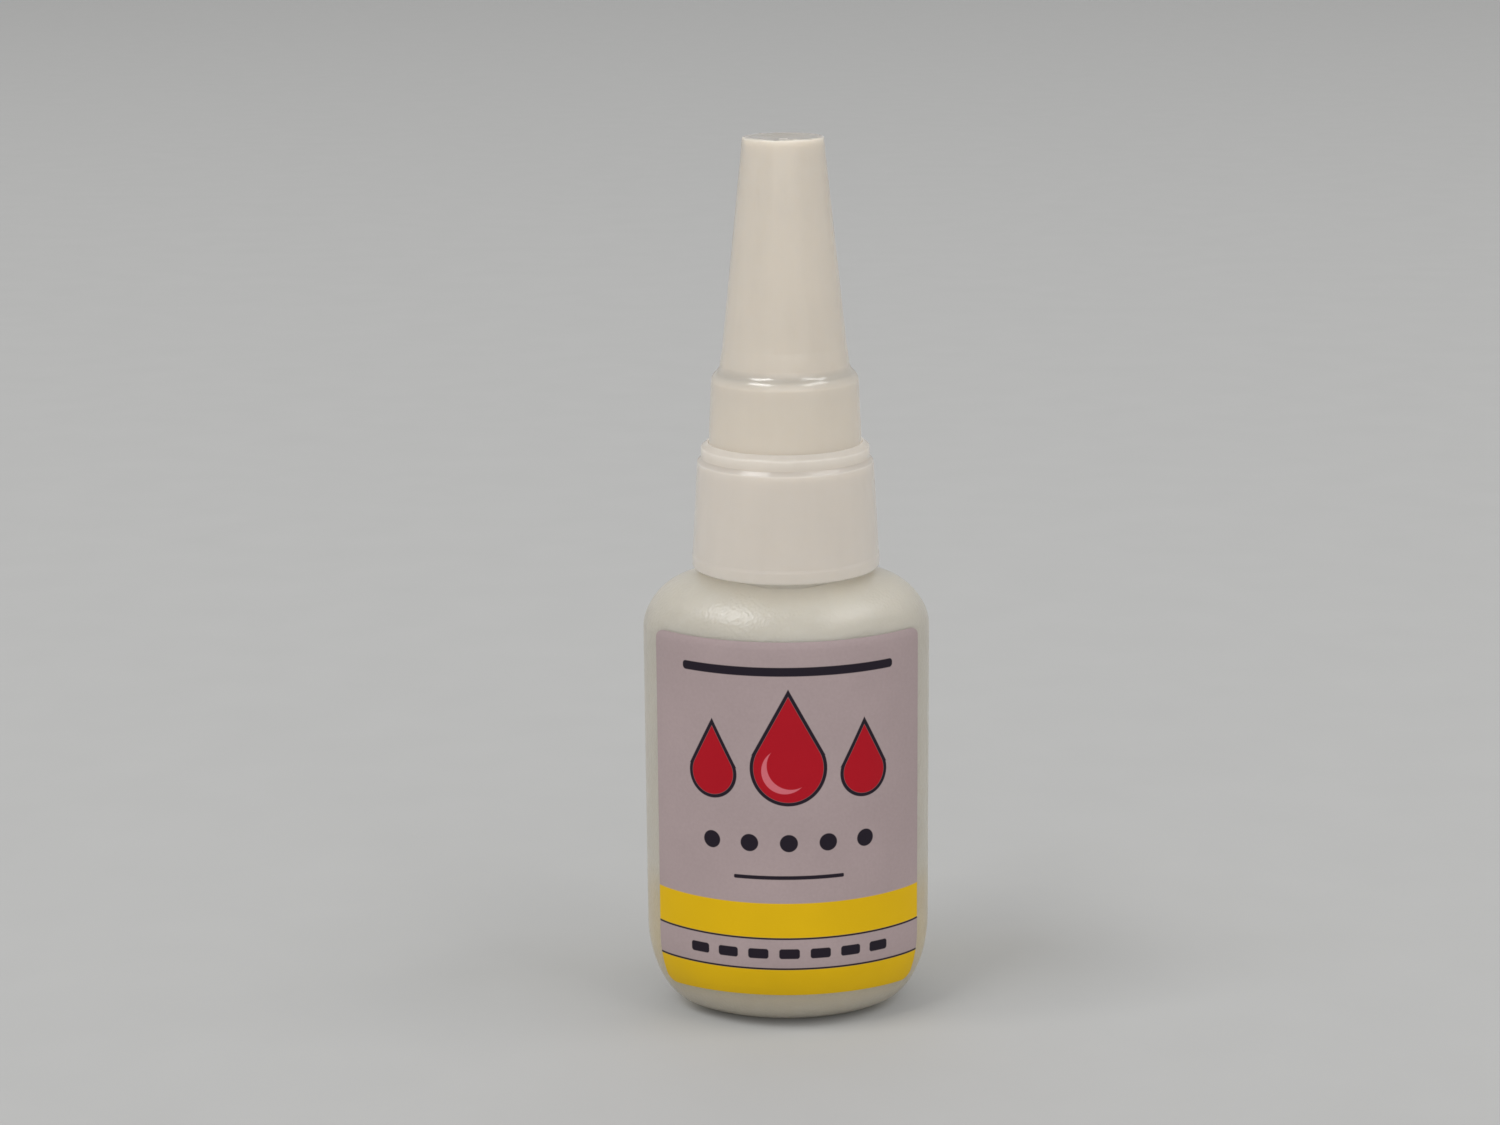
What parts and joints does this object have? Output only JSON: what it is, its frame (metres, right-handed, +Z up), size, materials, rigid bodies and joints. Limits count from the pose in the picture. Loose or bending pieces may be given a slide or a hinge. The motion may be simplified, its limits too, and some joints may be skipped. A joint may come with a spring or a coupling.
{
  "type": "adhesive bottle",
  "caption": "Oval squeeze bottle for instant adhesive, with a front label, a dropper held by a screw collar and a long conical push-on cap.",
  "frame": {"origin": "centre of the bottle's footprint, on the plane that it stands on", "axes": "+Z up along the axis of neck, collar and cap; -Y out of the front label; +X to the right across the label"},
  "size_m": [0.0322, 0.0251, 0.0993],
  "materials": {
    "bottle_plastic": "satin, milky and slightly translucent",
    "label_film": "printed satin film",
    "adhesive": "clear liquid",
    "dropper_plastic": "satin, translucent",
    "collar_plastic": "translucent, softly glossy",
    "cap_plastic": "cream, softly glossy"
  },
  "bodies": {
    "bottle": {"bottle": "bottle_plastic", "front_label": "label_film", "glue": "adhesive"},
    "dropper": {"dropper_nozzle": "dropper_plastic"},
    "collar": {"screw_collar": "collar_plastic"},
    "cap": {"cap": "cap_plastic"}
  },
  "joints": [
    {"name": "nozzle_lift", "type": "slide", "parent": "bottle", "child": "dropper", "axis": [0, 0, 1], "range_m": [0, 0.006]},
    {"name": "collar_turn", "type": "hinge", "parent": "dropper", "child": "collar", "pos_m": [0, 0, 0.0575], "axis": [0, 0, 1], "range_deg": [0, 720]},
    {"name": "cap_pull", "type": "slide", "parent": "dropper", "child": "cap", "axis": [0, 0, 1], "range_m": [0, 0.04]}
  ],
  "couplings": [
    {"joint": "nozzle_lift", "follows": "collar_turn", "m_per_rad": 0.000477}
  ]
}
